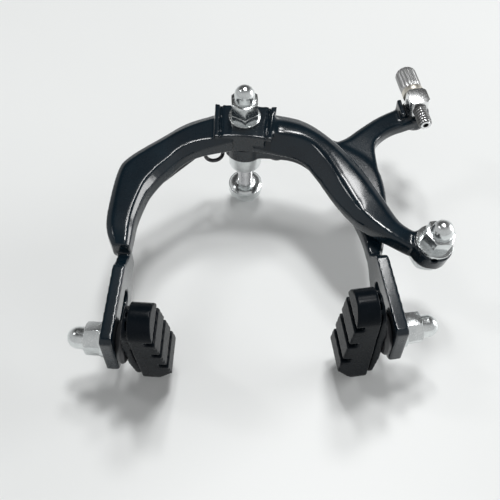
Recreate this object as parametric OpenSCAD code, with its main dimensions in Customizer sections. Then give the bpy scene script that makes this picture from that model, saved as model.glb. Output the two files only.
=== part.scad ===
// Side pull caliper brake for a bicycle, with long arms for a wide rim.
// The pieces lie in one frame, in millimetres. Z runs along the centre bolt towards the
// front cap nut, Z = 0 is the free end of the bolt, X points to the side of the cable and
// Y points away from the brake pads. The arms are drawn in the pose of the photograph.

/* [Arms] */
// Angle of each arm away from the pose where the pads are parallel
arm_open = 6; // [4:0.5:6.5]
// Thickness of the hub of the front arm
front_t = 9; // [8:0.5:10]
// Thickness of the hub of the rear arm
rear_t = 7; // [6.5:0.5:8]
// Radius of the round hub of the rear arm
hub_r = 8.5; // [8:0.25:9.5]
// Width of the raised panel on the front arm, at its far side
panel_w = 18; // [17:0.2:20]
// Height of the side ribs and of the panel above the groove between them
panel_step = 0.8; // [0.5:0.1:1]
// Bevel along the lower edges of both arms
edge_bevel = 0.7; // [0.4:0.1:1]

/* [Legs] */
// Thickness of the slotted leg plates
leg_t = 4.4; // [4:0.2:5]
// Width of the leg plates along the bolt
leg_w = 22; // [20:0.5:23]
// Distance from the bolt axis to the inner face of a leg
leg_x = 36.4; // [35.5:0.1:37]
// Length of travel of a stud in its slot
slot_run = 16; // [10:1:17]
// Depth of the stud axis below the front face of the front arm
stud_drop = 13; // [12:0.5:13.5]
// Distance from the bolt axis to the pad studs
stud_reach = 91.6; // [90:0.2:92]
// Distance from a stud to the foot of its leg
foot_past = 7; // [6.6:0.1:9]

/* [Hardware] */
// Thread diameter of the bolt, the studs and the anchor bolt
thread_d = 6; // [5.6:0.1:6.2]
// Width across the flats of the nuts
nut_af = 10; // [9.5:0.1:10.5]
// Height of the hexagon of a cap nut
cap_hex_h = 5.6; // [5:0.1:6]
// Diameter of the dome of a cap nut
dome_d = 7.8; // [7.2:0.1:8.2]
// Full height of the cap nuts on the centre bolt and on the studs
cap_h = 12; // [10.4:0.1:13]
// Full height of the cap nut on the anchor bolt
anchor_cap_h = 10.8; // [10.4:0.1:13]
// Thickness of the thin nuts
thin_nut_h = 3.2; // [3:0.1:3.5]
// Outer diameter of the front washer
front_washer_d = 12.4; // [11.5:0.1:13]
// Thickness of the pressed washers
washer_t = 1.2; // [1:0.1:1.4]
// Thickness of the thin washers beside the hub of the rear arm
thin_washer_t = 1; // [0.8:0.1:1.2]

/* [Centre bolt] */
// Diameter of the round spring seat turned on the bolt
seat_d = 13.2; // [12.6:0.1:14]
// Length of the round spring seat
seat_h = 8; // [7:0.5:9]
// Length of bare thread between the spring seat and the curved washer
clamp_run = 13; // [8:0.5:14]
// Outer diameter of the curved washer and of the flat washer below it
rear_washer_d = 14; // [13:0.2:15]
// Thickness of the curved washer
curve_washer_t = 4; // [3.4:0.1:4.4]
// Length of bare thread past the mounting nut
bolt_tail = 3; // [2.5:0.1:4]

/* [Spring] */
// Diameter of the spring wire
wire_d = 1.6; // [1.4:0.1:1.8]
// Radius of each spring coil at the centre of the wire
coil_r = 3.6; // [3.4:0.1:4]
// Distance from the bolt axis to the centre of each coil
coil_x = 12.7; // [12.2:0.1:13.2]

/* [Brake pads] */
// Length of a pad
pad_l = 50; // [46:1:52]
// Width of a pad
pad_w = 13.5; // [13:0.5:15]
// Thickness of the block of a pad at its middle
pad_t = 9.8; // [9:0.2:11]
// How much thicker a pad is at its rear end than at its front end
pad_wedge = 5.2; // [4:0.2:6]
// Depth of the three grooves across the pad face
tread_depth = 3; // [2:0.2:4]
// Width of the three grooves across the pad face
tread_gap = 2.6; // [2:0.2:3.4]
// Turn of the left pad about its stud
left_turn = 8; // [0:1:9]
// Turn of the right pad about its stud
right_turn = 0; // [-4:1:8]
// Radius of the dish washer behind a pad
dish_r = 8; // [7.5:0.1:8.4]
// Thickness of the dish washer
dish_t = 3; // [2.6:0.1:3.4]

/* [Cable anchor] */
// Radius of the eye for the anchor bolt
eye_r = 7.4; // [7.2:0.1:8]
// Thickness of the eye for the anchor bolt
eye_t = 6; // [5.5:0.1:6.5]
// Lean of the anchor bolt away from the centre bolt
eye_lean = 12; // [8:1:14]
// Diameter of the washer on the anchor bolt
anchor_washer_d = 13.8; // [13:0.1:14.2]
// Diameter of the cable hole across the anchor bolt
cable_d = 2.2; // [2:0.1:2.4]

/* [Barrel adjuster] */
// Diameter of the ribbed head
head_d = 8.6; // [7.6:0.1:9]
// Length of the ribbed head
head_l = 10.2; // [8:0.1:11]
// Diameter of the seat for the cable housing
socket_d = 5.4; // [5:0.1:5.6]
// Depth of the seat for the cable housing
socket_l = 6; // [5:0.5:6.5]
// Length of the threaded tube below its lock ring
barrel_l = 19; // [17:0.5:20]
// Width of the head of the swivel along and across the barrel
swivel_w = 8; // [7.8:0.1:8.6]
// Height of the head of the swivel
swivel_h = 8.4; // [8:0.1:9]
// Angle of the barrel away from the line of the rear arm
barrel_turn = 2.5; // [0:0.5:4]

/* [Hidden] */
// Facets of a full circle for large and small round forms
fine = 64;
small = 32;
// Running fit between a shaft and its hole, on the radius
run_fit = 0.05;
// Free play between faces that turn past each other
face_gap = 0.05;
// Play of a stud in its slot, on the radius
slot_fit = 0.2;
// Play of a plate that is moulded into rubber
insert_gap = 0.01;
// Overlap of forms that make one casting
weld = 0.6;
// How far a cut runs past the face that it opens
past = 1;
// Chamfer turned on the ends of the bolt and of its spring seat
end_chamfer = 0.6;
// How far the corners of a hexagon are turned off, and how far down its sides that reaches
corner_cut = 0.7;
corner_drop = 0.42;
// How far a thread reaches into the dome of its cap nut, and the depth of the hole there
dome_reach = 1;
dome_hole = 1.4;

// Turn of each nut as it was tightened
front_nut_turn = 30;
anchor_nut_turn = 12;
left_nut_turn = 0;
right_nut_turn = 18;

// Levels along the bolt, counted down from the front face of the front arm
mid_top = -front_t;
rear_top = mid_top - thin_washer_t - 2 * face_gap;
rear_low = rear_top - rear_t;
seat_top = rear_low - thin_washer_t - 2 * face_gap;
seat_low = seat_top - seat_h;
curve_top = seat_low - clamp_run;
flat_top = curve_top - curve_washer_t;
nut_top = flat_top - washer_t;
nut_low = nut_top - thin_nut_h;
bolt_low = nut_low - bolt_tail;
// Height of the front face of the front arm above the free end of the bolt
face_z = -bolt_low;
bolt_r = thread_d / 2;
bolt_top = washer_t + thin_nut_h + cap_hex_h + dome_reach;
// Level of the straight part of the spring in the slot of its seat
spring_z = seat_top - seat_h / 2;

// Levels of the upper and lower edge of a leg, and the ends of its slot
leg_top = -stud_drop + leg_w / 2;
leg_low = -stud_drop - leg_w / 2;
slot_r = bolt_r + slot_fit;
slot_foot = stud_reach;
leg_foot = stud_reach + foot_past;
slot_head = stud_reach - slot_run;
// Where a leg goes over into its arm: end of the root, end of the neck and start of the plate
root_y = 58;
neck_y = 62.4;
plate_y = 67;
// Levels of the upper and lower edge of the neck on the front arm and on the rear arm
front_neck = [-6.5, -17];
rear_neck = [-10.8, -16.8];

// Place of the eye for the anchor bolt, from the bolt axis and from the front face
eye_x = 70.4;
eye_y = -50.8;
eye_z = -4.2;
anchor_head_t = 4;
// Level of the cable hole below the face of the eye
cable_z = -cable_d / 4;
// Place and radius of the swivel eye, and the levels of its two faces
swivel_x = 70.6;
swivel_y = 4.4;
swivel_r = 5.8;
swivel_top = rear_top - 1.2;
swivel_low = rear_low + 0.4;
// Lug beside the swivel: thickness, width, height above the eye and distance from the swivel
lug_t = 1.8;
lug_w = 8.4;
lug_h = 3;
lug_gap = 5.2;
// Swivel post, and the groove for its clip
post_r = 3;
post_end = 1.8;
groove_t = 0.7;
groove_in = 0.6;
clip_t = 0.6;
clip_w = 2;
clip_mouth = 3.2;
clip_mid = swivel_low - 0.85;
swivel_corner = 0.9;
// Lock ring, barrel and ribs of its head
collar_r = head_d / 2;
collar_l = 2.6;
barrel_z = swivel_top + 0.2 + swivel_h / 2;
barrel_r = bolt_r - 0.2;
ribs = 18;
rib_w = 0.7;
rib_in = 0.3;

// Distance from a leg to the back of its pad, and the forms inside and behind the pad
back_gap = dish_t + face_gap;
boat_t = 2.6;
boat_end = 0.8;
boat_flat = 8.5;
boat_in = 2;
waist_in = 4;
waist_t = 0.8;
stud_sunk = 4.4;
plate_end = 6;
plate_side = 3.5;
plate_l = pad_l - 2 * plate_end;
plate_w = pad_w - 2 * plate_side;
plate_t = 1.6;
// Pegs below the arms that the ends of the spring press on
peg_x = 40;
peg_y = -22.5;
peg_r = 2;
peg_low = spring_z - 0.5 * wire_d;

// Stations of the front arm on the side of its leg, from the hub to the end:
// far edge x and y, near edge x and y, top, bottom, far bevel, near bevel
front_leg_line = [[ -4,   6.2,  -4,  -10.2, -1.2, -8.6, 2.6, 1.2],
                  [-21,  -0.3, -19,  -15.6, -1.2, -8.8, 4,   3],
                  [-31,  -9.4, -27.3,-25.2, -0.8, -9,   3.4, 3],
                  [-42, -20.4, -32,  -33,   -0.4, -9.2, 2.8, 2.8],
                  [-45.4, -28, -34,  -38.6, -0.3, -9.4, 2.6, 2.4],
                  [-46.2, -46, -35.7,-47.6, -0.3, -9.4, 2.4, 1.9],
                  [-45.2,-54.5,-36,  -55,   -0.6, -9.4, 2.2, 1.6],
                  [-42.4,-60.6,-36.2,-60.6, -1.6, -9.2, 1.6, 1.4]];
// Stations of the front arm on the side of the cable, in the same order
front_eye_line = [[  4,   6.2,   4,  -10,   -1.2, -8.6, 4.6, 4.6],
                  [ 21,   4.6,  20.5,-13.2, -1.0, -8.8, 5.8, 6.6],
                  [ 33.6,-5.6,  27.6,-20.8, -0.6, -9,   4,   6.6],
                  [ 45, -19.6,  35.4,-33.4, -0.6, -9,   3.6, 5],
                  [ 52.6,-32,   43.2,-43,   -1.2, -9,   3.2, 3.2],
                  [eye_x - 11.4, eye_y + 8.2, eye_x - 16.8, eye_y + 1.2, eye_z + 2, -9.2, 2.6, 1.4],
                  [eye_x - 4.4, eye_y + 4, eye_x - 8, eye_y - 3.2, eye_z + 0.6, -9.6, 1.6, 1.2]];
// Stations of the rear arm from the hub to its leg, below the top of the hub
rear_leg_line = [[  0,    7.4,  0,   -7.4, -0.6, 0.5, 1.6, 1.6],
                 [ 12,    5.4, 11,   -9.2, -0.4, 0.4, 2,   1.6],
                 [ 24,    0.4, 20,  -13.4, -0.4, 0.4, 2.4, 1.6],
                 [ 39,   -9,   27.4,-24,   -0.4, 0.4, 2.4, 1.4],
                 [ 48,  -20,   32.6,-36.8, -0.4, 0.4, 2,   1.2],
                 [ 49.4,-32,   35,  -47,   -0.4, 0.4, 2,   1.2],
                 [ 47,  -46,   36,  -54,   -0.4, 0.4, 1.8, 1.2],
                 [ 42,  -60.6, 36.2,-60.6, -0.8, 0.6, 1.4, 1]];
// Stations of the branch of the rear arm that carries the swivel
branch_line = [[32,  -8,   48.6, -32,   -0.7, 0.7, 1.6, 1],
               [39.4, -5.6, 49.4, -19,  -0.7, 0.7, 2.4, 1],
               [46.6, -1.1, 51,   -10.6,-0.7, 0.7, 2.4, 1],
               [swivel_x - 16, swivel_y - 0.8, swivel_x - 13.6, swivel_y - 9.8, -0.9, 0.7, 2.2, 1],
               [swivel_x - 7.6, swivel_y + 2.6, swivel_x - 6.6, swivel_y - 7.2, -1.2, 0.7, 1.8, 1],
               [swivel_x - 2, swivel_y + 4.6, swivel_x, swivel_y - 5.6, -1.4, 0.7, 1.4, 1]];
// Fall of the far bevel over its width
far_slope = 0.55;
// Rings between two stations
ring_steps = 4;

// Point at place t along a line of stations, on a smooth curve through them
function blend(p, t) = let (
    n = len(p) - 1,
    i = min(floor(t), n - 1),
    u = t - i,
    a = p[max(i - 1, 0)],
    b = p[i],
    c = p[i + 1],
    d = p[min(i + 2, n)])
    (2 * b + (c - a) * u + (2 * a - 5 * b + 4 * c - d) * u * u + (3 * b - a - 3 * c + d) * u * u * u) / 2;

// One ring of eight points from a station, with bevels on all four edges
function ring(s, top_base, low_base) = let (
    o = [s[0], s[1]],
    i = [s[2], s[3]],
    d = (i - o) / norm(i - o),
    top = s[4] + top_base,
    low = s[5] + low_base,
    oe = o + d * edge_bevel,
    ie = i - d * edge_bevel,
    ot = o + d * s[6],
    it = i - d * s[7])
    [[o[0], o[1], low + edge_bevel],
     [oe[0], oe[1], low],
     [ie[0], ie[1], low],
     [i[0], i[1], low + edge_bevel],
     [i[0], i[1], top - s[7]],
     [it[0], it[1], top],
     [ot[0], ot[1], top],
     [o[0], o[1], top - s[6] * far_slope]];

// Solid through the rings of a line of stations, whose levels count from the two bases; turn is 1
// where the line runs towards +X and -1 where it runs towards -X, so that the faces point outwards
module limb(line, turn, top_base, low_base) {
    n = (len(line) - 1) * ring_steps;
    rings = [for (k = [0 : n]) ring(blend(line, k / ring_steps), top_base, low_base)];
    points = [for (r = rings) for (q = r) q];
    sides = [for (k = [0 : n - 1]) for (j = [0 : 7]) let (
        a = k * 8 + j,
        b = k * 8 + (j + 1) % 8,
        c = a + 8,
        d = b + 8)
        each [[a, b, d], [a, d, c]]];
    first = [for (j = [7 : -1 : 0]) j];
    last = [for (j = [0 : 7]) n * 8 + j];
    faces = concat(sides, [first], [last]);
    polyhedron(points, turn > 0 ? faces : [for (q = faces) [for (j = [len(q) - 1 : -1 : 0]) q[j]]]);
}

// Puts a piece drawn on the cable side on its arm: 1 is the rear arm, -1 the front arm
module on_side(s) {
    translate([0, 0, face_z])
        rotate([0, 0, s * arm_open])
            mirror([s < 0 ? 1 : 0, 0, 0])
                children();
}

module front_frame() {
    translate([0, 0, face_z])
        rotate([0, 0, -arm_open])
            children();
}

module rear_frame() {
    translate([0, 0, face_z])
        rotate([0, 0, arm_open])
            children();
}

// Hexagon with its corners turned off at the ends that are named
module hex_form(af, h, low_end, top_end) {
    corner = af / cos(30) / 2;
    rim = corner + insert_gap;
    intersection() {
        cylinder(h = h, r = corner, $fn = 6);
        rotate_extrude($fn = fine)
            polygon([[0, 0], [corner - (low_end ? corner_cut : 0), 0], [rim, low_end ? corner_drop : 0],
                     [rim, h - (top_end ? corner_drop : 0)], [corner - (top_end ? corner_cut : 0), h], [0, h]]);
    }
}

// Cap nut that stands on z = 0 with its blind thread open below
module cap_nut(h) {
    dome_r = dome_d / 2;
    difference() {
        union() {
            hex_form(nut_af, cap_hex_h, false, true);
            translate([0, 0, cap_hex_h - weld])
                cylinder(h = h - dome_r - cap_hex_h + weld, r = dome_r, $fn = fine);
            translate([0, 0, h - dome_r])
                sphere(r = dome_r, $fn = fine);
        }
        translate([0, 0, -past])
            cylinder(h = past + cap_hex_h + dome_hole, r = bolt_r + run_fit, $fn = fine);
    }
}

module thin_nut() {
    difference() {
        hex_form(nut_af, thin_nut_h, true, true);
        translate([0, 0, -past])
            cylinder(h = thin_nut_h + 2 * past, r = bolt_r + run_fit, $fn = fine);
    }
}

module flat_ring(d, hole_r, t) {
    difference() {
        cylinder(h = t, d = d, $fn = fine);
        translate([0, 0, -past])
            cylinder(h = t + 2 * past, r = hole_r, $fn = fine);
    }
}

// Half section of a round bar with a chamfer at both ends
module chamfered(r, h) {
    polygon([[0, 0], [r - end_chamfer, 0], [r, end_chamfer], [r, h - end_chamfer], [r - end_chamfer, h], [0, h]]);
}

module centre_bolt() {
    color("silver")
    translate([0, 0, face_z])
    difference() {
        union() {
            translate([0, 0, bolt_low])
                rotate_extrude($fn = fine)
                    chamfered(bolt_r, bolt_top - bolt_low);
            translate([0, 0, seat_low])
                rotate_extrude($fn = fine)
                    chamfered(seat_d / 2, seat_h);
        }
        // Slot for the straight part of the spring, beside the thread
        translate([-seat_d, bolt_r + run_fit, spring_z - wire_d / 2 - slot_fit])
            cube([2 * seat_d, seat_d, wire_d + 2 * slot_fit]);
    }
}

module front_cap_nut() {
    color("silver")
    translate([0, 0, face_z + washer_t + thin_nut_h])
        rotate([0, 0, front_nut_turn])
            cap_nut(cap_h);
}

module front_lock_nut() {
    color("silver")
    translate([0, 0, face_z + washer_t])
        rotate([0, 0, front_nut_turn])
            thin_nut();
}

module front_washer() {
    color("silver")
    translate([0, 0, face_z])
        flat_ring(front_washer_d, bolt_r + run_fit, washer_t);
}

module mid_washer() {
    color("gainsboro")
    translate([0, 0, face_z + rear_top + face_gap])
        flat_ring(front_washer_d, bolt_r + run_fit, thin_washer_t);
}

module rear_washer() {
    color("gainsboro")
    translate([0, 0, face_z + seat_top + face_gap])
        flat_ring(front_washer_d, bolt_r + run_fit, thin_washer_t);
}

// Thick washer with a dome towards the spring seat
module curved_washer() {
    edge = rear_washer_d / 2;
    color("silver")
    translate([0, 0, face_z + flat_top])
    difference() {
        union() {
            cylinder(h = curve_washer_t - 1.4, r = edge, $fn = fine);
            rotate_extrude($fn = fine)
                polygon([[0, 0], [edge - 0.3, 0], [edge - 0.3, curve_washer_t - 1.3], [edge - 1.2, curve_washer_t - 0.5],
                         [edge - 2.6, curve_washer_t - 0.1], [bolt_r + 0.4, curve_washer_t], [0, curve_washer_t]]);
        }
        translate([0, 0, -past])
            cylinder(h = curve_washer_t + 2 * past, r = bolt_r + run_fit, $fn = fine);
    }
}

module flat_washer() {
    color("silver")
    translate([0, 0, face_z + nut_top])
        flat_ring(rear_washer_d, bolt_r + run_fit, washer_t);
}

module mounting_nut() {
    color("silver")
    translate([0, 0, face_z + nut_low])
        thin_nut();
}

// Path of the spring wire on the cable side: straight part, one full coil, then the leg along its peg
function spring_path() = let (
    cy = bolt_r + run_fit + wire_d / 2 + slot_fit - coil_r,
    peg = [peg_x * cos(arm_open) - peg_y * sin(arm_open), peg_x * sin(arm_open) + peg_y * cos(arm_open)],
    span = peg - [coil_x, cy],
    press = peg_r + wire_d / 2 + face_gap,
    lean = atan2(span[1], span[0]) - asin((coil_r + press) / norm(span)),
    leave = lean + 90,
    turn = 360 + 90 - leave,
    steps = 30,
    rise = wire_d * 1.15,
    along = [cos(lean), sin(lean)],
    tip = peg - press * [-sin(lean), cos(lean)] + 4 * along)
    concat([[0, cy + coil_r, 0]],
           [for (k = [0 : steps]) let (q = 90 - turn * k / steps)
               [coil_x + coil_r * cos(q), cy + coil_r * sin(q), rise * k / steps]],
           [[tip[0], tip[1], rise]]);

// Round wire swept along a path that stays nearly level
module wire(path) {
    sides = 12;
    n = len(path);
    points = [for (k = [0 : n - 1]) let (
        d = path[min(k + 1, n - 1)] - path[max(k - 1, 0)],
        e = [d[1], -d[0], 0] / norm([d[0], d[1]]))
        for (j = [0 : sides - 1])
            path[k] + wire_d / 2 * (cos(j * 360 / sides) * e + sin(j * 360 / sides) * [0, 0, 1])];
    walls = [for (k = [0 : n - 2]) for (j = [0 : sides - 1]) let (
        a = k * sides + j,
        b = k * sides + (j + 1) % sides,
        c = a + sides,
        d = b + sides)
        each [[a, d, b], [a, c, d]]];
    first = [for (j = [0 : sides - 1]) j];
    last = [for (j = [sides - 1 : -1 : 0]) (n - 1) * sides + j];
    polyhedron(points, concat(walls, [first], [last]));
}

module return_spring() {
    half = spring_path();
    n = len(half);
    color("dimgray")
    translate([0, 0, face_z + spring_z])
        wire(concat([for (k = [n - 1 : -1 : 1]) [-half[k][0], half[k][1], half[k][2]]], half));
}

// Slotted plate of a leg on the cable side, with its neck up to the arm
module leg(neck) {
    corner = 2.2;
    nose = 1.4;
    step = 1.6;
    translate([leg_x, 0, 0])
    difference() {
        rotate([90, 0, 90])
            linear_extrude(leg_t)
                polygon([[-root_y, neck[0]], [-neck_y, neck[0]], [-plate_y, leg_top - step], [-plate_y - step, leg_top],
                         [-leg_foot + nose, leg_top], [-leg_foot, leg_top - nose],
                         [-leg_foot, leg_low + corner], [-leg_foot + corner, leg_low],
                         [-plate_y - 5, leg_low], [-neck_y, neck[1]], [-root_y, neck[1]]]);
        for (y = [slot_head, slot_foot])
            translate([-past, -y, -stud_drop])
                rotate([0, 90, 0])
                    cylinder(h = leg_t + 2 * past, r = slot_r, $fn = fine);
        translate([-past, -slot_foot, -stud_drop - slot_r])
            cube([leg_t + 2 * past, slot_run, 2 * slot_r]);
    }
}

// Block of the front arm around the bolt, with its panel and the rib at each side
module hub_block() {
    half = panel_w / 2;
    groove = 1.1;
    rib = 2;
    rib_rise = 0.2;
    edge = half + groove + rib;
    far = 6.4;
    near = 10.6;
    // Depth of the block beside the panel
    side_t = 1.8;
    // Radius of the arched near side, and its height over the ends of the block
    arch = 60;
    arch_rise = 1.2;
    // How much narrower the block is at its near side
    taper = 0.9;
    module plan(left, right) {
        polygon([[left, far], [right, far], [right * taper, -near - past], [left * taper, -near - past]]);
    }
    intersection() {
        union() {
            translate([0, 0, -side_t])
                linear_extrude(side_t - panel_step)
                    plan(-edge, edge);
            translate([0, 0, -front_t])
                linear_extrude(front_t)
                    plan(-half, half);
            translate([0, 0, -panel_step - weld])
                linear_extrude(panel_step + weld + rib_rise) {
                    plan(-edge, rib - edge);
                    plan(edge - rib, edge);
                }
        }
        translate([0, 0, -front_t - past])
            difference() {
                translate([-edge - past, -near - past, 0])
                    cube([2 * (edge + past), far + near + past, front_t + 3 * past]);
                translate([0, -near + arch_rise - arch, -past])
                    cylinder(h = front_t + 5 * past, r = arch, $fn = 4 * fine);
            }
    }
}

module at_eye() {
    translate([eye_x, eye_y, eye_z])
        rotate([0, eye_lean, 0])
            children();
}

// Hole for the cable across the anchor bolt
module cable_hole(l) {
    translate([0, l / 2, cable_z])
        rotate([90, 0, 0])
            cylinder(h = l, d = cable_d, $fn = small);
}

module front_arm() {
    color([0.06, 0.06, 0.08])
    difference() {
        union() {
            front_frame() {
                hub_block();
                limb(front_leg_line, -1, 0, 0);
                limb(front_eye_line, 1, 0, 0);
                at_eye()
                    translate([0, 0, -eye_t])
                        cylinder(h = eye_t, r = eye_r, $fn = fine);
                translate([-peg_x, peg_y, peg_low])
                    cylinder(h = -peg_low - front_t / 2, r = peg_r, $fn = small);
            }
            on_side(-1)
                leg(front_neck);
        }
        front_frame() {
            translate([0, 0, -front_t - past])
                cylinder(h = front_t + 3 * past, r = bolt_r + run_fit, $fn = fine);
            at_eye() {
                translate([0, 0, -eye_t - anchor_head_t])
                    cylinder(h = eye_t + anchor_head_t + past, r = bolt_r + run_fit, $fn = fine);
                translate([0, 0, -eye_t - anchor_head_t - past])
                    cylinder(h = anchor_head_t + past, r = nut_af / 2 + past, $fn = fine);
                cylinder(h = eye_t, r = eye_r + weld, $fn = fine);
                cable_hole(4 * eye_r);
            }
        }
    }
}

module anchor_bolt() {
    color("silver")
    front_frame()
        at_eye()
            difference() {
                union() {
                    translate([0, 0, -eye_t - anchor_head_t])
                        hex_form(nut_af, anchor_head_t, true, false);
                    translate([0, 0, -eye_t - weld])
                        cylinder(h = eye_t + weld + washer_t + cap_hex_h + dome_reach, r = bolt_r, $fn = fine);
                }
                cable_hole(2 * thread_d);
            }
}

module anchor_washer() {
    color("silver")
    front_frame()
        at_eye()
            difference() {
                flat_ring(anchor_washer_d, bolt_r + run_fit, washer_t);
                cable_hole(2 * anchor_washer_d);
            }
}

module anchor_cap_nut() {
    color("silver")
    front_frame()
        at_eye()
            translate([0, 0, washer_t])
                rotate([0, 0, anchor_nut_turn])
                    cap_nut(anchor_cap_h);
}

module rear_arm() {
    color([0.06, 0.06, 0.08])
    difference() {
        union() {
            rear_frame() {
                translate([0, 0, rear_low])
                    cylinder(h = rear_t, r = hub_r, $fn = fine);
                limb(rear_leg_line, 1, rear_top, rear_low);
                limb(branch_line, 1, rear_top, rear_low);
                translate([swivel_x, swivel_y, swivel_low])
                    cylinder(h = swivel_top - swivel_low, r = swivel_r, $fn = fine);
                // Lug beside the swivel that limits how far the swivel turns
                translate([swivel_x - lug_gap - lug_t, swivel_y - lug_w / 2, swivel_low + weld])
                    cube([lug_t, lug_w, swivel_top - swivel_low - weld + lug_h]);
                translate([peg_x, peg_y, peg_low])
                    cylinder(h = rear_low + rear_t / 2 - peg_low, r = peg_r, $fn = small);
            }
            on_side(1)
                leg(rear_neck);
        }
        rear_frame() {
            translate([0, 0, rear_low - past])
                cylinder(h = rear_t + 2 * past, r = bolt_r + run_fit, $fn = fine);
            translate([swivel_x, swivel_y, swivel_low - past])
                cylinder(h = swivel_top - swivel_low + 2 * past, r = post_r + run_fit, $fn = fine);
        }
    }
}

module at_swivel() {
    rear_frame()
        translate([swivel_x, swivel_y, 0])
            rotate([0, 0, barrel_turn])
                children();
}

module swivel_post() {
    color("silver")
    at_swivel()
        difference() {
            union() {
                translate([0, 0, swivel_low - post_end])
                    cylinder(h = swivel_top - swivel_low + post_end + weld, r = post_r, $fn = fine);
                intersection() {
                    translate([-swivel_w / 2, -swivel_w / 2, swivel_top + face_gap])
                        cube([swivel_w, swivel_w, swivel_h]);
                    translate([0, 0, swivel_top + face_gap])
                        cylinder(h = swivel_h, r = swivel_w / sqrt(2) - swivel_corner, $fn = fine);
                }
            }
            translate([0, 0, barrel_z])
                rotate([90, 0, 0])
                    translate([0, 0, -swivel_w])
                        cylinder(h = 2 * swivel_w, r = barrel_r + run_fit, $fn = fine);
            translate([0, 0, clip_mid - groove_t / 2])
                flat_ring(2 * (post_r + past), post_r - groove_in, groove_t);
        }
}

module swivel_clip() {
    color("dimgray")
    at_swivel()
        translate([0, 0, clip_mid - clip_t / 2])
            difference() {
                flat_ring(2 * (post_r + clip_w), post_r - groove_in + run_fit, clip_t);
                translate([0, -clip_mouth / 2, -past])
                    cube([post_r + clip_w + past, clip_mouth, clip_t + 2 * past]);
            }
}

module lock_ring() {
    color("silver")
    at_swivel()
        translate([0, swivel_w / 2 + collar_l + face_gap, barrel_z])
            rotate([90, 0, 0])
                flat_ring(2 * collar_r, barrel_r + run_fit, collar_l);
}

module barrel_adjuster() {
    start = swivel_w / 2 + collar_l + 2 * face_gap;
    color("silver")
    at_swivel()
        translate([0, start, barrel_z])
            rotate([-90, 0, 0])
                difference() {
                    union() {
                        cylinder(h = head_l, r = head_d / 2 - rib_in, $fn = fine);
                        for (k = [0 : ribs - 1])
                            rotate([0, 0, k * 360 / ribs])
                                translate([head_d / 2 - rib_in - weld, -rib_w / 2, rib_w])
                                    cube([rib_in + weld, rib_w, head_l - 2 * rib_w]);
                        translate([0, 0, -barrel_l])
                            cylinder(h = barrel_l + weld, r = barrel_r, $fn = fine);
                    }
                    translate([0, 0, head_l - socket_l])
                        cylinder(h = socket_l + past, d = socket_d, $fn = fine);
                    translate([0, 0, -barrel_l - past])
                        cylinder(h = barrel_l + head_l, d = cable_d, $fn = small);
                }
}

module at_stud(s) {
    on_side(s)
        translate([leg_x, -stud_reach, -stud_drop])
            rotate([0, 90, 0])
                children();
}

module dish_washer(s) {
    color("dimgray")
    at_stud(s)
        difference() {
            translate([0, 0, -dish_t])
                rotate_extrude($fn = fine)
                    polygon([[0, 0], [dish_r - 0.8, 0], [dish_r, 0.8], [dish_r, 1.4], [dish_r - 1.6, dish_t], [0, dish_t]]);
            translate([0, 0, -dish_t - past])
                cylinder(h = dish_t + 2 * past, r = bolt_r + run_fit, $fn = fine);
        }
}

module outer_washer(s) {
    color("silver")
    at_stud(s)
        translate([0, 0, leg_t])
            flat_ring(front_washer_d, bolt_r + run_fit, washer_t);
}

module stud_cap_nut(s, turn) {
    color("silver")
    at_stud(s)
        translate([0, 0, leg_t + washer_t])
            rotate([0, 0, turn])
                cap_nut(cap_h);
}

// Steel stud with the plate that is moulded into the pad
module stud(s, turn) {
    color("silver")
    at_stud(s)
        rotate([0, 0, turn])
        union() {
            translate([0, 0, -back_gap - stud_sunk - weld])
                cylinder(h = back_gap + stud_sunk + weld + leg_t + washer_t + cap_hex_h + dome_reach, r = bolt_r, $fn = fine);
            translate([-plate_l / 2, -plate_w / 2, -back_gap - stud_sunk - plate_t])
                cube([plate_l, plate_w, plate_t]);
        }
}

// Long outline with round ends in the plane across the stud
module pad_shape(l, w) {
    square([l - w, w], center = true);
    for (x = [-1, 1])
        translate([x * (l - w) / 2, 0])
            circle(d = w, $fn = fine);
}

// Thickness of the block of a pad at a distance along it from the stud
function depth(x) = pad_t + pad_wedge * x / pad_l;

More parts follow.
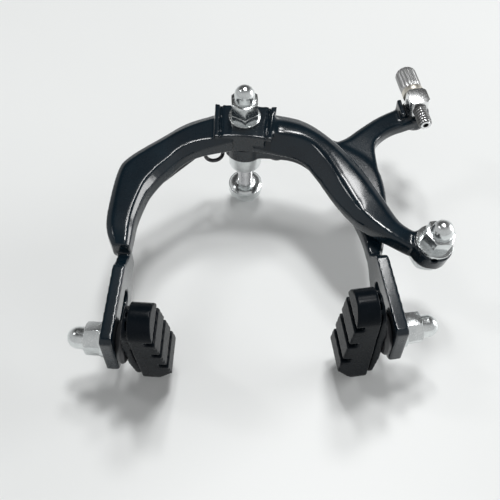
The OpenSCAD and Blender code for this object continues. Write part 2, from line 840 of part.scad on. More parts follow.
// Rubber pad: a wedge with four blocks, and behind it a boat shaped back around the stud
module pad(s, turn) {
    front = back_gap + boat_t;
    half = pad_l / 2;
    over = half + past;
    slope = atan(pad_wedge / pad_l);
    // Bevel over the thick end of the block, and what it leaves of the block there
    nose_l = 0.24 * pad_l;
    nose_t = 2.4;
    // Distance between the grooves, and of the middle one from the stud
    pitch = 0.22 * pad_l;
    groove_x = 0.12 * pad_l;
    color([0.2, 0.2, 0.21])
    at_stud(s)
        rotate([0, 0, turn])
        difference() {
            union() {
                intersection() {
                    translate([0, 0, -front])
                        linear_extrude(boat_t)
                            pad_shape(pad_l - 2 * boat_in, pad_w - boat_in);
                    translate([0, pad_w, -front])
                        rotate([90, 0, 0])
                            linear_extrude(2 * pad_w)
                                polygon([[-pad_l, -past], [-pad_l, boat_end], [-half, boat_end], [-boat_flat, boat_t],
                                         [boat_flat, boat_t], [half, boat_end], [pad_l, boat_end], [pad_l, -past]]);
                }
                translate([0, 0, -front - waist_t])
                    linear_extrude(waist_t + weld)
                        pad_shape(pad_l - 2 * waist_in, pad_w - waist_in);
                intersection() {
                    translate([0, 0, -front - 2 * pad_t])
                        linear_extrude(2 * pad_t)
                            pad_shape(pad_l, pad_w);
                    translate([0, pad_w, -front - waist_t])
                        rotate([90, 0, 0])
                            linear_extrude(2 * pad_w)
                                polygon([[-over, 0], [-over, -depth(-over)], [half - nose_l, -depth(half - nose_l)],
                                         [half, -nose_t], [over, -nose_t], [over, 0]]);
                }
            }
            translate([0, 0, -front - waist_t - pad_t])
                rotate([0, slope, 0])
                    for (k = [-1 : 1])
                        translate([k * pitch - groove_x - tread_gap / 2, -pad_w, -pad_t + tread_depth])
                            cube([tread_gap, 2 * pad_w, pad_t]);
            translate([0, 0, -back_gap - stud_sunk])
                cylinder(h = boat_t + stud_sunk, r = bolt_r + insert_gap, $fn = fine);
            translate([-plate_l / 2 - insert_gap, -plate_w / 2 - insert_gap, -back_gap - stud_sunk - plate_t - insert_gap])
                cube([plate_l + 2 * insert_gap, plate_w + 2 * insert_gap, plate_t + 2 * insert_gap]);
        }
}

centre_bolt();
front_cap_nut();
front_lock_nut();
front_washer();
mid_washer();
rear_washer();
return_spring();
curved_washer();
flat_washer();
mounting_nut();
front_arm();
anchor_bolt();
anchor_washer();
anchor_cap_nut();
rear_arm();
swivel_post();
swivel_clip();
lock_ring();
barrel_adjuster();
dish_washer(-1);  // left_dish_washer
outer_washer(-1);  // left_washer
stud_cap_nut(-1, left_nut_turn);  // left_cap_nut
stud(-1, left_turn);  // left_stud
pad(-1, left_turn);  // left_pad
dish_washer(1);  // right_dish_washer
outer_washer(1);  // right_washer
stud_cap_nut(1, right_nut_turn);  // right_cap_nut
stud(1, right_turn);  // right_stud
pad(1, right_turn);  // right_pad
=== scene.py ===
# %% [markdown]
# # A side pull caliper brake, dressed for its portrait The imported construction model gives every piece
# its size and its place. This script gives each of them the surface that the real brake has: gloss black
# paint on cast arms, bright zinc on nuts and washers, moulded rubber, dark spring wire. Nothing is moved:
# where a shape needs softer edges or finer detail, a new mesh is made in the same place and stands for
# the plain one.

# %% Load the frame
import math

import bmesh
import bpy
from mathutils import Matrix, Vector


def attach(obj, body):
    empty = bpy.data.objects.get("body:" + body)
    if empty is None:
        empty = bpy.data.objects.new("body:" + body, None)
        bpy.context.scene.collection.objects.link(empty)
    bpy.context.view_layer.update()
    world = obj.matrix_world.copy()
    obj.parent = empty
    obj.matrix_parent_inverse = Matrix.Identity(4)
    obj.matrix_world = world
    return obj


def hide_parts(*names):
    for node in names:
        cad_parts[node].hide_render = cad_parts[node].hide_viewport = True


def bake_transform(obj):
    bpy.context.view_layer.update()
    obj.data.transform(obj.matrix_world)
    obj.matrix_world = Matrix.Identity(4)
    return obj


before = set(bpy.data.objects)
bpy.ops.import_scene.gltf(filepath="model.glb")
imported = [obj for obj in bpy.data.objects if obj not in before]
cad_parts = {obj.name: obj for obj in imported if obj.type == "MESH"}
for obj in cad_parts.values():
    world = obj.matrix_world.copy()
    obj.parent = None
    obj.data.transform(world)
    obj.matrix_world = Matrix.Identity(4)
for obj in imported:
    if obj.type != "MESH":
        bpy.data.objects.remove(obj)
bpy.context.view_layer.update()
MM = 0.001
print("nodes in the frame:", len(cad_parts))

# %% [markdown]
# ## The camera
# The photograph looks down on the brake from the side of the pads, with the bolt pointing up. The camera
# was found by matching the nuts in the picture with their places in the model: it stands about 57 degrees
# above the table, a third of a metre away, and is turned two degrees. A camera can be placed by angles or
# by a target; here its three axes are written out, because they came from that match as numbers.

# %% Camera
FACE_Z = 50.6
PITCH, YAW, DISTANCE = math.radians(56.9), math.radians(2.15), 309.2
forward = Vector((0, math.cos(PITCH), -math.sin(PITCH)))
up = Vector((0, math.sin(PITCH), math.cos(PITCH)))
eye = Vector((2.0, 0, 0)) - forward * DISTANCE - up * 51.1
turn = Matrix.Rotation(-YAW, 3, "Z")
forward, up, eye = turn @ forward, turn @ up, turn @ eye + Vector((0, 0, FACE_Z))
right = forward.cross(up)
camera = bpy.data.objects.new("camera", bpy.data.cameras.new("camera"))
bpy.context.scene.collection.objects.link(camera)
camera.data.sensor_width = 36
camera.data.lens = 36 * 800 / 500
camera.data.clip_start = 0.01
camera.matrix_world = Matrix.Translation(eye * MM) @ Matrix((right, up, -forward)).transposed().to_4x4()
bpy.context.scene.camera = camera
print("camera at", [round(v * MM, 4) for v in eye])

# %% [markdown]
# ## Black paint
# The arms are cast, smoothed and painted gloss black. Such paint is a dark, slightly blue coat with a
# clear, hard top: broad reflections stay sharp, but the surface has a faint orange peel, and the base
# below it is a little uneven. One shader with a clear coat gives that. The unevenness comes from two
# noises in object coordinates, so it stays on the metal from every side.

# %% Material helpers
def new_material(name, metallic=0.0, **sockets):
    made = bpy.data.materials.new(name)
    made.use_nodes = True
    shader = made.node_tree.nodes["Principled BSDF"]
    shader.inputs["Metallic"].default_value = metallic
    for socket, value in sockets.items():
        shader.inputs[socket.replace("_", " ")].default_value = value
    return made, made.node_tree, shader


def noise(tree, scale, detail=3.0, rough=0.55):
    place = tree.nodes.new("ShaderNodeTexCoord")
    node = tree.nodes.new("ShaderNodeTexNoise")
    node.inputs["Scale"].default_value = scale
    node.inputs["Detail"].default_value = detail
    node.inputs["Roughness"].default_value = rough
    tree.links.new(place.outputs["Object"], node.inputs["Vector"])
    return node.outputs["Fac"]


def ramp(tree, value, *stops):
    """Stops are pairs of a position and a colour, or a grey as one number."""
    node = tree.nodes.new("ShaderNodeValToRGB")
    while len(node.color_ramp.elements) < len(stops):
        node.color_ramp.elements.new(0.5)
    for element, (at, colour) in zip(node.color_ramp.elements, stops):
        element.position = at
        element.color = (*colour, 1) if isinstance(colour, tuple) else (colour, colour, colour, 1)
    tree.links.new(value, node.inputs["Fac"])
    return node.outputs["Color"]


def bump(tree, shader, height, strength, depth):
    node = tree.nodes.new("ShaderNodeBump")
    node.inputs["Strength"].default_value = strength
    node.inputs["Distance"].default_value = depth
    tree.links.new(height, node.inputs["Height"])
    tree.links.new(node.outputs["Normal"], shader.inputs["Normal"])
    return node.outputs["Normal"]


# %% Paint
paint, tree, shader = new_material("black_paint", Coat_Weight=1.0, Coat_Roughness=0.13, Coat_IOR=1.46,
                                   Specular_IOR_Level=0.05)
tree.links.new(ramp(tree, noise(tree, 90), (0.3, (0.002, 0.007, 0.012)), (0.75, (0.004, 0.012, 0.019))),
               shader.inputs["Base Color"])
tree.links.new(ramp(tree, noise(tree, 1500, 2), (0.3, 0.26), (0.8, 0.4)), shader.inputs["Roughness"])
peel = bump(tree, shader, noise(tree, 420, 1.5), 0.025, 0.0004)
tree.links.new(peel, shader.inputs["Coat Normal"])
print("paint ready")

# %% [markdown]
# ## Bright zinc, nickel, and plain steel
# The nuts, washers, bolt and studs are zinc plated: silver, bright, with the fine marks of the tools and
# of the plating bath. The barrel and its swivel have the same shine with a slightly warmer tone. The
# marks only change the roughness and a very shallow bump, because a colour pattern would look like dirt.
# Between the ridges of a thread, or of a ribbed head, less light gets out than a render of this size
# resolves. The meshes of those ridges carry an attribute that is 1 on a crest and 0 in a root, and their
# finishes darken with it.

# %% Metals
def plated(name, light, dark, smooth, dull, marks=2600, roots=None):
    """Plated metal. roots is the share of light left between the ridges of a thread or of ribs."""
    made, tree, shader = new_material(name, metallic=1.0)
    colour = ramp(tree, noise(tree, 260, 4), (0.25, dark), (0.7, light))
    if roots:
        ridge = tree.nodes.new("ShaderNodeAttribute")
        ridge.attribute_name = "ridge"
        shade = tree.nodes.new("ShaderNodeMix")
        shade.data_type, shade.blend_type = "RGBA", "MULTIPLY"
        shade.inputs["Factor"].default_value = 1.0
        tree.links.new(colour, shade.inputs["A"])
        tree.links.new(ramp(tree, ridge.outputs["Fac"], (0.15, roots), (0.85, 1.0)), shade.inputs["B"])
        colour = shade.outputs["Result"]
    tree.links.new(colour, shader.inputs["Base Color"])
    tree.links.new(ramp(tree, noise(tree, marks, 3), (0.35, smooth), (0.75, dull)), shader.inputs["Roughness"])
    bump(tree, shader, noise(tree, marks * 0.5, 2), 0.12, 0.00005)
    return made


zinc = plated("zinc", (0.8, 0.825, 0.825), (0.6, 0.63, 0.635), 0.15, 0.32)
nickel = plated("nickel", (0.86, 0.87, 0.87), (0.7, 0.71, 0.72), 0.16, 0.32)
collar_metal = plated("collar_metal", (0.72, 0.69, 0.62), (0.58, 0.55, 0.49), 0.3, 0.5)
plain_steel = plated("plain_steel", (0.6, 0.61, 0.62), (0.42, 0.43, 0.44), 0.28, 0.5)
spring_steel = plated("spring_steel", (0.12, 0.12, 0.125), (0.06, 0.06, 0.065), 0.22, 0.42)
plain_thread = plated("plain_thread", (0.8, 0.81, 0.82), (0.6, 0.61, 0.62), 0.14, 0.3, roots=0.25)
nickel_thread = plated("nickel_thread", (0.97, 0.97, 0.97), (0.85, 0.86, 0.86), 0.3, 0.4, roots=0.22)
nickel_ribs = plated("nickel_ribs", (0.97, 0.97, 0.97), (0.85, 0.86, 0.86), 0.3, 0.4, roots=0.5)
print("metals ready")

# %% [markdown]
# ## Rubber and dull black
# The pads are moulded in a black rubber. It reflects little, so its specular level is far below that of
# the paint, and it has a fine grain from the mould. The colour moves a little between two near blacks,
# because no moulding is quite even. The dish washers behind the pads are a dark grey with a rougher
# surface.

# %% Rubber and dull black
rubber, tree, shader = new_material("rubber", IOR=1.3, Specular_IOR_Level=0.13)
tree.links.new(ramp(tree, noise(tree, 140, 5, 0.6),
                    (0.3, (0.002, 0.004, 0.006)), (0.72, (0.006, 0.008, 0.011))),
               shader.inputs["Base Color"])
tree.links.new(ramp(tree, noise(tree, 900, 3), (0.3, 0.18), (0.75, 0.32)), shader.inputs["Roughness"])
bump(tree, shader, noise(tree, 1900, 3), 0.18, 0.0001)

dull_black, tree, shader = new_material("dull_black")
tree.links.new(ramp(tree, noise(tree, 200, 4), (0.3, (0.022, 0.023, 0.025)), (0.7, (0.04, 0.041, 0.044))),
               shader.inputs["Base Color"])
tree.links.new(ramp(tree, noise(tree, 1200, 3), (0.3, 0.3), (0.75, 0.5)), shader.inputs["Roughness"])
bump(tree, shader, noise(tree, 1300, 2), 0.15, 0.0001)
print("rubber ready")

# %% [markdown]
# ## Soft edges
# The construction model has knife edges. Real castings and mouldings have none, and an edge without a
# radius shows no highlight. Castings get theirs from a fine voxel remesh of a merged copy, followed by a
# few rounds of smoothing, which also blends the ribs into the arm. Turned and pressed pieces need crisper
# forms, so a bevel of a tenth or two of a millimetre is enough there.

# %% Copies with soft edges
SHARP = math.radians(38)


def merged_copy(node, name):
    mesh = bpy.data.meshes.new(name)
    shape = bmesh.new()
    shape.from_mesh(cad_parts[node].data)
    bmesh.ops.remove_doubles(shape, verts=shape.verts, dist=2e-6)
    shape.to_mesh(mesh)
    shape.free()
    for spare in ("custom_normal", "UVMap"):
        if spare in mesh.attributes:
            mesh.attributes.remove(mesh.attributes[spare])
    mesh.materials.clear()
    piece = bpy.data.objects.new(name, mesh)
    bpy.context.scene.collection.objects.link(piece)
    return piece


def bake(piece):
    bpy.context.view_layer.update()
    shown = piece.evaluated_get(bpy.context.evaluated_depsgraph_get())
    mesh = bpy.data.meshes.new_from_object(shown)
    piece.modifiers.clear()
    piece.data = mesh
    return mesh


def dress(piece, finish, body, slot, *nodes):
    piece.data.materials.clear()
    piece.data.materials.append(finish)
    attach(piece, body)
    if nodes:
        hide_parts(*nodes)
    return piece


def skin(node, grain, rounds, finish, body, slot, *rounders):
    """A remeshed and smoothed copy. A rounder is a number of more rounds and their share at a place."""
    piece = merged_copy(node, node + "_skin")
    mesher = piece.modifiers.new("voxels", "REMESH")
    mesher.mode = "VOXEL"
    mesher.voxel_size = grain * MM
    mesher.use_smooth_shade = True
    smoother = piece.modifiers.new("smooth", "SMOOTH")
    smoother.factor = 0.5
    smoother.iterations = rounds
    mesh = bake(piece)
    for more, where in rounders:
        group = piece.vertex_groups.new(name="rounder")
        for vertex in mesh.vertices:
            weight = where(vertex.co / MM)
            if weight > 0:
                group.add([vertex.index], weight, "REPLACE")
        smoother = piece.modifiers.new("smooth", "SMOOTH")
        smoother.factor = 0.5
        smoother.iterations = more
        smoother.vertex_group = "rounder"
        mesh = bake(piece)
        piece.vertex_groups.clear()
    mesh.shade_smooth()
    print(piece.name, "triangles:", 2 * len(mesh.polygons))
    return dress(piece, finish, body, slot, node)


def softened(node, width, finish, body, slot):
    """A copy whose sharp edges get a bevel of width millimetres."""
    piece = merged_copy(node, node + "_soft")
    shape = bmesh.new()
    shape.from_mesh(piece.data)
    bmesh.ops.dissolve_limit(shape, angle_limit=math.radians(0.6), verts=shape.verts, edges=shape.edges)
    shape.to_mesh(piece.data)
    shape.free()
    bevel = piece.modifiers.new("edge", "BEVEL")
    bevel.width = width * MM
    bevel.segments = 3
    bevel.limit_method = "ANGLE"
    bevel.angle_limit = math.radians(35)
    bevel.miter_outer = "MITER_ARC"
    mesh = bake(piece)
    mesh.shade_smooth()
    mesh.set_sharp_from_angle(angle=SHARP)
    return dress(piece, finish, body, slot, node)


# %% [markdown]
# ## The two arms
# A cast arm is not rounded alike all over. Here the hub block and the eyes keep most of their edges, the
# right limb is the softest, and the left limb and the legs lie between. The near edge of the front arm
# gets more rounds, because the photograph shows a long highlight where it rolls over into the top. Each
# radius could be modelled instead. Smoothing weighted by place is quicker, but its places are given as
# numbers and have to move when the arms change.

# %% Arms
ARM_GRAIN, FIRST_ROUNDS = 0.36, 4
LEFT_SHARE, LEG_SHARE = 0.3, 0.35
CREST = (Vector((14, -4.5)), Vector((24, -13.5)), Vector((34, -31)), Vector((38, -38)))
CREST_R, CREST_Z = 7, 45


def limb_only(place):
    """1 on the right limb, less on the left limb and on the legs, 0 on the hub block and on the eyes."""
    away_from_hub = (abs(place.x) - 13) / 4
    away_from_leg = max((place.y + 60) / 4, LEG_SHARE)
    away_from_eye = (64 - place.x) / 3
    return max(0.0, min(LEFT_SHARE if place.x < 0 else 1.0, away_from_hub, away_from_leg, away_from_eye))


def crest(place):
    """1 where the near edge of the front arm rolls over into its top, 0 at CREST_R millimetres from there."""
    flat = place.xy
    away = []
    for start, end in zip(CREST, CREST[1:]):
        along = max(0.0, min(1.0, (flat - start).dot(end - start) / (end - start).length_squared))
        away.append((flat - start.lerp(end, along)).length)
    return max(0.0, min(1.0, 2 * (1 - min(away) / CREST_R), (place.z - CREST_Z) / 2))


skin("front_arm", ARM_GRAIN, FIRST_ROUNDS, paint, "front_arm", "black_paint", (36, limb_only), (170, crest))
skin("rear_arm", ARM_GRAIN, FIRST_ROUNDS, paint, "rear_arm", "black_paint", (24, limb_only))

# %% [markdown]
# ## The two pads
# A pad is one moulding: a long block with three grooves straight across the face that meets the rim. It
# gets only the first rounds of smoothing, so its edges stay crisper than those of the arms.

# %% Pads
for side in ("left", "right"):
    skin(side + "_pad", ARM_GRAIN, FIRST_ROUNDS, rubber, side + "_shoe", "rubber")

# %% [markdown]
# ## Nuts, washers and turned pieces
# Each of these is one plain form with crisp edges, already right in the model. A copy gets a narrow
# bevel, wide enough to catch the light along the corners of the hexagons and the rims of the washers.

# %% Hardware
for node, width, finish, body, slot in (
        ("front_cap_nut", 0.18, zinc, "mounting_bolt", "zinc"),
        ("front_lock_nut", 0.16, zinc, "mounting_bolt", "zinc"),
        ("front_washer", 0.16, zinc, "mounting_bolt", "zinc"),
        ("curved_washer", 0.16, zinc, "mounting_bolt", "zinc"),
        ("flat_washer", 0.16, zinc, "mounting_bolt", "zinc"),
        ("mounting_nut", 0.16, zinc, "mounting_bolt", "zinc"),
        ("anchor_bolt", 0.16, zinc, "front_arm", "zinc"),
        ("anchor_washer", 0.16, zinc, "front_arm", "zinc"),
        ("anchor_cap_nut", 0.18, zinc, "front_arm", "zinc"),
        ("swivel_post", 0.45, nickel, "swivel", "nickel"),
        ("lock_ring", 0.3, collar_metal, "swivel", "nickel"),
        ("left_dish_washer", 0.3, dull_black, "left_carrier", "dark_steel"),
        ("right_dish_washer", 0.3, dull_black, "right_carrier", "dark_steel"),
        ("left_washer", 0.16, zinc, "left_carrier", "zinc"),
        ("right_washer", 0.16, zinc, "right_carrier", "zinc"),
        ("left_cap_nut", 0.18, zinc, "left_carrier", "zinc"),
        ("right_cap_nut", 0.18, zinc, "right_carrier", "zinc")):
    softened(node, width, finish, body, slot)
print("hardware dressed")

# %% [markdown]
# ## Threads and ribs
# A thread is one profile that follows a helix, and the ribs of the barrel head are one profile that
# repeats around it. Both are a flat sheet wrapped around an axis, so both come from Geometry Nodes: a
# grid gives the sheet, and its two coordinates give the angle and the height. A modelled helix would need
# thousands of hand placed points; a bump in the material would leave the outline smooth.

# %% Geometry Nodes helpers
class Nodes:
    """A node group in the making: each call adds one node and gives back its first output."""

    def __init__(self, name, **numbers):
        self.tree = bpy.data.node_groups.new(name, "GeometryNodeTree")
        self.tree.interface.new_socket("Geometry", in_out="OUTPUT", socket_type="NodeSocketGeometry")
        for label in numbers:
            kind = "NodeSocketInt" if isinstance(numbers[label], int) else "NodeSocketFloat"
            made = self.tree.interface.new_socket(label, in_out="INPUT", socket_type=kind)
            made.default_value = numbers[label]
        self.tree.interface.new_socket("Finish", in_out="INPUT", socket_type="NodeSocketMaterial")
        self.given = self.tree.nodes.new("NodeGroupInput").outputs

    def put(self, node, socket, value):
        if isinstance(value, bpy.types.NodeSocket):
            self.tree.links.new(value, node.inputs[socket])
        else:
            node.inputs[socket].default_value = value

    def math(self, operation, *values, clamp=False):
        node = self.tree.nodes.new("ShaderNodeMath")
        node.operation, node.use_clamp = operation, clamp
        for index, value in enumerate(values):
            self.put(node, index, value)
        return node.outputs[0]

    def add(self, kind, **sockets):
        node = self.tree.nodes.new(kind)
        for label, value in sockets.items():
            self.put(node, label.replace("_", " "), value)
        return node

    def wrap(self, columns, rows, shape):
        """A grid wrapped once around the Z axis. shape turns its two coordinates, from 0 to 1, into the
        radius, the height and the share of a ridge, which the finish reads as the attribute ridge."""
        grid = self.add("GeometryNodeMeshGrid", Size_X=1.0, Size_Y=1.0, Vertices_X=columns, Vertices_Y=rows)
        place = self.tree.nodes.new("ShaderNodeSeparateXYZ")
        self.put(place, 0, self.add("GeometryNodeInputPosition").outputs[0])
        around = self.math("ADD", place.outputs[0], 0.5)
        along = self.math("ADD", place.outputs[1], 0.5)
        radius, height, ridge = shape(around, along)
        angle = self.math("MULTIPLY", around, 2 * math.pi)
        point = self.add("ShaderNodeCombineXYZ", X=self.math("MULTIPLY", radius, self.math("COSINE", angle)),
                         Y=self.math("MULTIPLY", radius, self.math("SINE", angle)), Z=height)
        moved = self.add("GeometryNodeSetPosition", Geometry=grid.outputs[0], Position=point.outputs[0])
        marked = self.add("GeometryNodeStoreNamedAttribute", Geometry=moved.outputs[0], Name="ridge")
        self.put(marked, "Value", ridge)
        closed = self.add("GeometryNodeMergeByDistance", Geometry=marked.outputs[0], Distance=1e-6)
        real = self.add("GeometryNodeRealizeInstances", Geometry=closed.outputs[0])
        dressed = self.add("GeometryNodeSetMaterial", Geometry=real.outputs[0], Material=self.given["Finish"])
        self.tree.links.new(dressed.outputs[0], self.tree.nodes.new("NodeGroupOutput").inputs[0])


def grown(name, tree, place, finish, body, slot, *nodes, **numbers):
    """A piece made by a node group in its own frame, then put in its place."""
    piece = bpy.data.objects.new(name, bpy.data.meshes.new(name))
    bpy.context.scene.collection.objects.link(piece)
    growth = piece.modifiers.new("growth", "NODES")
    growth.node_group = tree
    for item in tree.interface.items_tree:
        if item.in_out == "INPUT":
            plain = finish if item.name == "Finish" else item.default_value
            growth[item.identifier] = numbers.get(item.name, plain)
    mesh = bake(piece)
    mesh.transform(place)
    shape = bmesh.new()
    shape.from_mesh(mesh)
    bmesh.ops.dissolve_degenerate(shape, edges=shape.edges, dist=1e-6)
    bmesh.ops.recalc_face_normals(shape, faces=shape.faces)
    shape.to_mesh(mesh)
    shape.free()
    mesh.shade_smooth()
    print(name, "faces:", len(mesh.polygons))
    return dress(piece, finish, body, slot, *nodes)


# %% Thread
thread = Nodes("thread", Core=0.0026, Crest=0.00298, Pitch=0.001, Length=0.01, Columns=41, Rows=80)
given = thread.given


def thread_profile(around, along):
    run = thread.math("ADD", given["Length"], given["Pitch"])
    turns = thread.math("DIVIDE", thread.math("MULTIPLY", along, run), given["Pitch"])
    wave = thread.math("PINGPONG", turns, 0.5)
    flank = thread.math("MULTIPLY", thread.math("SUBTRACT", wave, 0.1), 3.3, clamp=True)
    climbed = thread.math("SUBTRACT", thread.math("ADD", turns, around), 1.0)
    climb = thread.math("MULTIPLY", climbed, given["Pitch"])
    height = thread.math("MINIMUM", thread.math("MAXIMUM", climb, 0.0), given["Length"])
    to_end = thread.math("MINIMUM", height, thread.math("SUBTRACT", given["Length"], height))
    fade = thread.math("MULTIPLY", thread.math("DIVIDE", to_end, given["Pitch"]), 1.4, clamp=True)
    depth = thread.math("SUBTRACT", given["Crest"], given["Core"])
    ridge = thread.math("MULTIPLY", flank, fade)
    return thread.math("ADD", given["Core"], thread.math("MULTIPLY", depth, ridge)), height, ridge


thread.wrap(given["Columns"], given["Rows"], thread_profile)
print("thread group ready")

# %% Ribs of the barrel head
knurl = Nodes("knurl", Valley=0.0035, Crest=0.00398, Ribs=18.0, Length=0.0086, Edge=0.0007,
              Columns=217, Rows=12)
ribs_given = knurl.given


def knurl_profile(around, along):
    wave = knurl.math("PINGPONG", knurl.math("MULTIPLY", around, ribs_given["Ribs"]), 0.5)
    ridge = knurl.math("MULTIPLY", knurl.math("SUBTRACT", wave, 0.12), 4.0, clamp=True)
    height = knurl.math("MULTIPLY", along, ribs_given["Length"])
    to_end = knurl.math("MINIMUM", height, knurl.math("SUBTRACT", ribs_given["Length"], height))
    near_end = knurl.math("DIVIDE", to_end, ribs_given["Edge"])
    fade = knurl.math("MULTIPLY", knurl.math("SUBTRACT", near_end, 0.4), 1.2, clamp=True)
    rib = knurl.math("MULTIPLY", ridge, fade)
    past_edge = knurl.math("MULTIPLY", near_end, 1.0, clamp=True)
    rounding = knurl.math("MULTIPLY", knurl.math("SUBTRACT", 1.0, past_edge), 0.0002)
    depth = knurl.math("SUBTRACT", ribs_given["Crest"], ribs_given["Valley"])
    ribbed = knurl.math("ADD", ribs_given["Valley"], knurl.math("MULTIPLY", depth, rib))
    return knurl.math("SUBTRACT", ribbed, rounding), height, rib


knurl.wrap(ribs_given["Columns"], ribs_given["Rows"], knurl_profile)
print("knurl group ready")

# %% [markdown]
# ## The centre bolt and the barrel
# Both are turned. The bolt keeps its bevelled copy, and only the points of its shank move in to the root
# of the thread. The barrel is a profile swept around an axis. The wrapped sheets lie over both. The bolt
# stands on the Z axis. The axis of the barrel repeats the place and the turn that the swivel has in the
# construction model.

# %% Turned pieces
def turned(name, profile, place, finish, body, slot, *nodes, sides=48):
    """A closed half section of radius and height in millimetres, swept around the Z axis of place."""
    shape = bmesh.new()
    rings = []
    for radius, height in profile:
        angles = [2 * math.pi * k / sides for k in range(sides)]
        places = [(radius * MM * math.cos(angle), radius * MM * math.sin(angle), height * MM) for angle in angles]
        rings.append([shape.verts.new(point) for point in places])
    for low, high in zip(rings, rings[1:] + rings[:1]):
        for k in range(sides):
            after = (k + 1) % sides
            shape.faces.new((low[k], low[after], high[after], high[k]))
    bmesh.ops.recalc_face_normals(shape, faces=shape.faces)
    mesh = bpy.data.meshes.new(name)
    shape.to_mesh(mesh)
    shape.free()
    mesh.transform(place)
    mesh.shade_smooth()
    mesh.set_sharp_from_angle(angle=SHARP)
    piece = bpy.data.objects.new(name, mesh)
    bpy.context.scene.collection.objects.link(piece)
    return dress(piece, finish, body, slot, *nodes)


# %% Centre bolt
BOLT_R, CORE_R, SEAT_LOW = 3.0, 2.6, 24.4
bolt = softened("centre_bolt", 0.12, zinc, "mounting_bolt", "zinc")
for vertex in bolt.data.vertices:
    across = math.hypot(vertex.co.x, vertex.co.y) / MM
    if across < BOLT_R + 0.02 and vertex.co.z / MM < SEAT_LOW + 0.5:
        vertex.co.x *= CORE_R / BOLT_R
        vertex.co.y *= CORE_R / BOLT_R
SHANK = SEAT_LOW - 0.5
grown("bolt_thread", thread.tree, Matrix.Translation((0, 0, 0.3 * MM)), plain_thread, "mounting_bolt", "zinc",
      Length=SHANK * MM, Rows=int(SHANK * 8) + 1)

# %% Barrel
TURN = math.radians(8.5)
SWIVEL = Vector((69.753, 11.756, 43.7))
HEAD_OUT, HEAD_L, HEAD_R, TUBE_L = 6.7, 10.2, 4.3, 19.0
BORE_R, SOCKET_R, SOCKET_L, TUBE_R, VALLEY_R = 1.15, 2.7, 6, 2.2, HEAD_R - 0.6
barrel = (Matrix.Translation(SWIVEL * MM) @ Matrix.Rotation(TURN, 4, "Z")
          @ Matrix.Translation((0, HEAD_OUT * MM, 0)) @ Matrix.Rotation(math.radians(-90), 4, "X"))
turned("barrel_body", ((BORE_R, -TUBE_L), (TUBE_R - 0.2, -TUBE_L), (TUBE_R, 0.4 - TUBE_L), (TUBE_R, 0.02),
                       (VALLEY_R, 0.02), (VALLEY_R, HEAD_L - 0.02), (SOCKET_R + 0.2, HEAD_L - 0.02),
                       (SOCKET_R, HEAD_L - 0.22), (SOCKET_R, HEAD_L - SOCKET_L), (BORE_R, HEAD_L - SOCKET_L)),
       barrel, nickel, "barrel", "nickel", "barrel_adjuster")
low_end = barrel @ Matrix.Translation((0, 0, (0.1 - TUBE_L) * MM))
grown("barrel_thread", thread.tree, low_end, nickel_thread, "barrel", "nickel",
      "barrel_adjuster", Length=(TUBE_L - 0.3) * MM, Core=2.16 * MM, Crest=2.78 * MM,
      Pitch=1.25 * MM, Rows=161)
grown("barrel_ribs", knurl.tree, barrel, nickel_ribs, "barrel", "nickel", "barrel_adjuster",
      Length=HEAD_L * MM, Valley=(HEAD_R - 0.4) * MM, Crest=(HEAD_R - 0.02) * MM)

# %% [markdown]
# ## The return spring
# One wire lies in the slot of the spring seat, makes a coil at each side and ends on a peg of each arm.
# When the brake closes the coils wind up and the two ends follow the arms. The wire is drawn as a
# curve with a round section and split in the middle into two halves, which stay where they are drawn.

# %% Spring
COIL_X, COIL_R, WIRE_R, SPRING_Z = 12.7, 3.6, 0.8, 28.4
COIL_Y, COIL_TURN, COIL_RISE = 0.45, 403.0, 1.84
COIL_STEPS, LEG_STEPS = 84, 16
TIP = (43.14, -23.03)


def spring_half(name, side):
    points = [Vector((0, COIL_Y + COIL_R, 0))]
    for k in range(COIL_STEPS + 1):
        angle = math.radians(90 - COIL_TURN * k / COIL_STEPS)
        points.append(Vector((COIL_X + COIL_R * math.cos(angle), COIL_Y + COIL_R * math.sin(angle),
                              COIL_RISE * k / COIL_STEPS)))
    last, tip = points[-1], Vector((*TIP, COIL_RISE))
    points += [last.lerp(tip, k / LEG_STEPS) for k in range(1, LEG_STEPS + 1)]
    curve = bpy.data.curves.new(name, "CURVE")
    curve.dimensions = "3D"
    curve.bevel_depth = WIRE_R * 0.98 * MM
    curve.bevel_resolution = 5
    curve.use_fill_caps = True
    line = curve.splines.new("POLY")
    line.points.add(len(points) - 1)
    for point, (x, y, z) in zip(line.points, points):
        point.co = (side * x * MM, y * MM, (SPRING_Z + z) * MM, 1)
    drawn = bpy.data.objects.new(name + "_line", curve)
    mesh = bpy.data.meshes.new_from_object(drawn)
    bpy.data.objects.remove(drawn)
    mesh.shade_smooth()
    mesh.materials.clear()
    mesh.materials.append(spring_steel)
    piece = bpy.data.objects.new(name, mesh)
    bpy.context.scene.collection.objects.link(piece)
    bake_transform(piece)
    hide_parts("return_spring")
    return piece


spring_half("spring_left", -1)
spring_half("spring_right", 1)
print("spring drawn")

# %% [markdown]
# ## Pieces that keep their own mesh
# The thin washers, the clip and the studs are small and mostly covered by their neighbours. They stay as
# the construction model has them and only get their finish.

# %% Nodes that stay as they are
for node, finish in (("mid_washer", plain_steel), ("rear_washer", plain_steel),
                     ("swivel_clip", spring_steel), ("left_stud", zinc), ("right_stud", zinc)):
    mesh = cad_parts[node].data
    mesh.materials.clear()
    mesh.materials.append(finish)
print("kept nodes dressed")

# %% [markdown]
# ## The table
# The brake stands on the end of its bolt and on the lower corners of its pads, so the table top is the
# plane through those points, and it leans by some degrees against the axis of the bolt. The brake itself
# keeps the frame of its mount, so the table leans and not the brake.

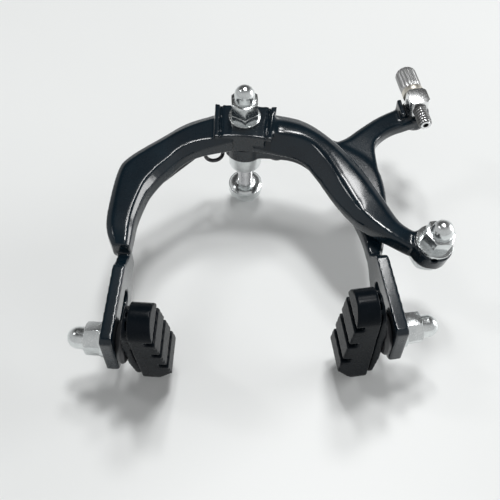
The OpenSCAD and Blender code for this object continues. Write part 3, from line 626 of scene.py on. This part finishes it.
# %% Floor
BOLT_END, TABLE_HALF = 2.4 * MM, 2.0
pads = [vertex.co for side in ("left", "right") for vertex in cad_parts[side + "_pad"].data.vertices]
slope = min(place.z / (-place.y - BOLT_END) for place in pads)
corners = [(TABLE_HALF * x, TABLE_HALF * y) for x, y in ((-1, -1), (1, -1), (1, 1), (-1, 1))]
floor_mesh = bpy.data.meshes.new("table_top")
floor_mesh.from_pydata([(x, y, -(y + BOLT_END) * slope - 0.00002) for x, y in corners], [], [(0, 1, 2, 3)])
floor = bpy.data.objects.new("table_top", floor_mesh)
bpy.context.scene.collection.objects.link(floor)
table, tree, shader = new_material("table_white", Roughness=0.45)
tree.links.new(ramp(tree, noise(tree, 6, 2), (0.2, (0.80, 0.815, 0.81)), (0.8, (0.83, 0.845, 0.84))),
               shader.inputs["Base Color"])
floor_mesh.materials.append(table)
print("table leans", round(math.degrees(math.atan(slope)), 2), "degrees")

# %% [markdown]
# ## The room
# Pale walls give about a quarter of the light on the table and fill the shadows. The part of the ceiling
# that the tops of the arms mirror is dark, and that is why black gloss paint looks black. A picture of a
# room would do the same; one ramp over the angle from that dark place is enough here.

# %% Room
ROOM_LIGHT = 0.6
DARK_PLACE = Vector((0, 0.58, 0.81)).normalized()
world = bpy.data.worlds.new("room")
bpy.context.scene.world = world
world.use_nodes = True
room = world.node_tree
sky = room.nodes["Background"]
sky.inputs["Strength"].default_value = ROOM_LIGHT
toward = room.nodes.new("ShaderNodeTexCoord")
closeness = room.nodes.new("ShaderNodeVectorMath")
closeness.operation = "DOT_PRODUCT"
room.links.new(toward.outputs["Generated"], closeness.inputs[0])
closeness.inputs[1].default_value = DARK_PLACE
room.links.new(ramp(room, closeness.outputs["Value"], (0.0, 1.0), (0.45, 0.9), (0.8, 0.12), (1.0, 0.03)),
               sky.inputs["Color"])
print("room ready")

# %% [markdown]
# ## The lamps
# The lamp overhead gives about three tenths of the light on the table. Four more are there for
# reflections: the strip for the long streak on the front arm, the softbox for the bright patch on it and
# the front of the leg, the right window for the streak on the left limb, and the left window for the
# edges that face it. Their directions started from the line of sight mirrored at highlights of the
# photograph, and were then moved. Each has a direction, a distance, a size in metres and a power.

# %% Lamps
MIDDLE = Vector((0, -0.03, 0.03))


def lamp(name, direction, distance, size, power):
    light = bpy.data.objects.new(name, bpy.data.lights.new(name, "AREA"))
    light.data.shape = "RECTANGLE"
    light.data.size, light.data.size_y = size
    light.data.energy = power
    light.location = MIDDLE + distance * Vector(direction).normalized()
    light.rotation_euler = (MIDDLE - light.location).to_track_quat("-Z", "Y").to_euler()
    bpy.context.scene.collection.objects.link(light)


lamp("overhead", (0.13, 0.24, 0.96), 1.3, (0.2, 0.2), 5.5)
lamp("ceiling_strip", (-0.03, 0.43, 0.9), 1.2, (0.11, 0.2), 2.3)
lamp("softbox", (0.165, 0.53, 0.83), 1.2, (0.18, 0.18), 2.2)
lamp("right_window", (0.945, 0.2, 0.25), 1.0, (0.5, 0.24), 4.2)
lamp("left_window", (-0.62, 0.22, 0.75), 1.0, (0.1, 0.16), 0.7)
print("light ready")

# %% [markdown]
# ## The end
# The plain Standard view shows colours as they are written.

# %% Finish
bpy.context.scene.view_settings.view_transform = "Standard"
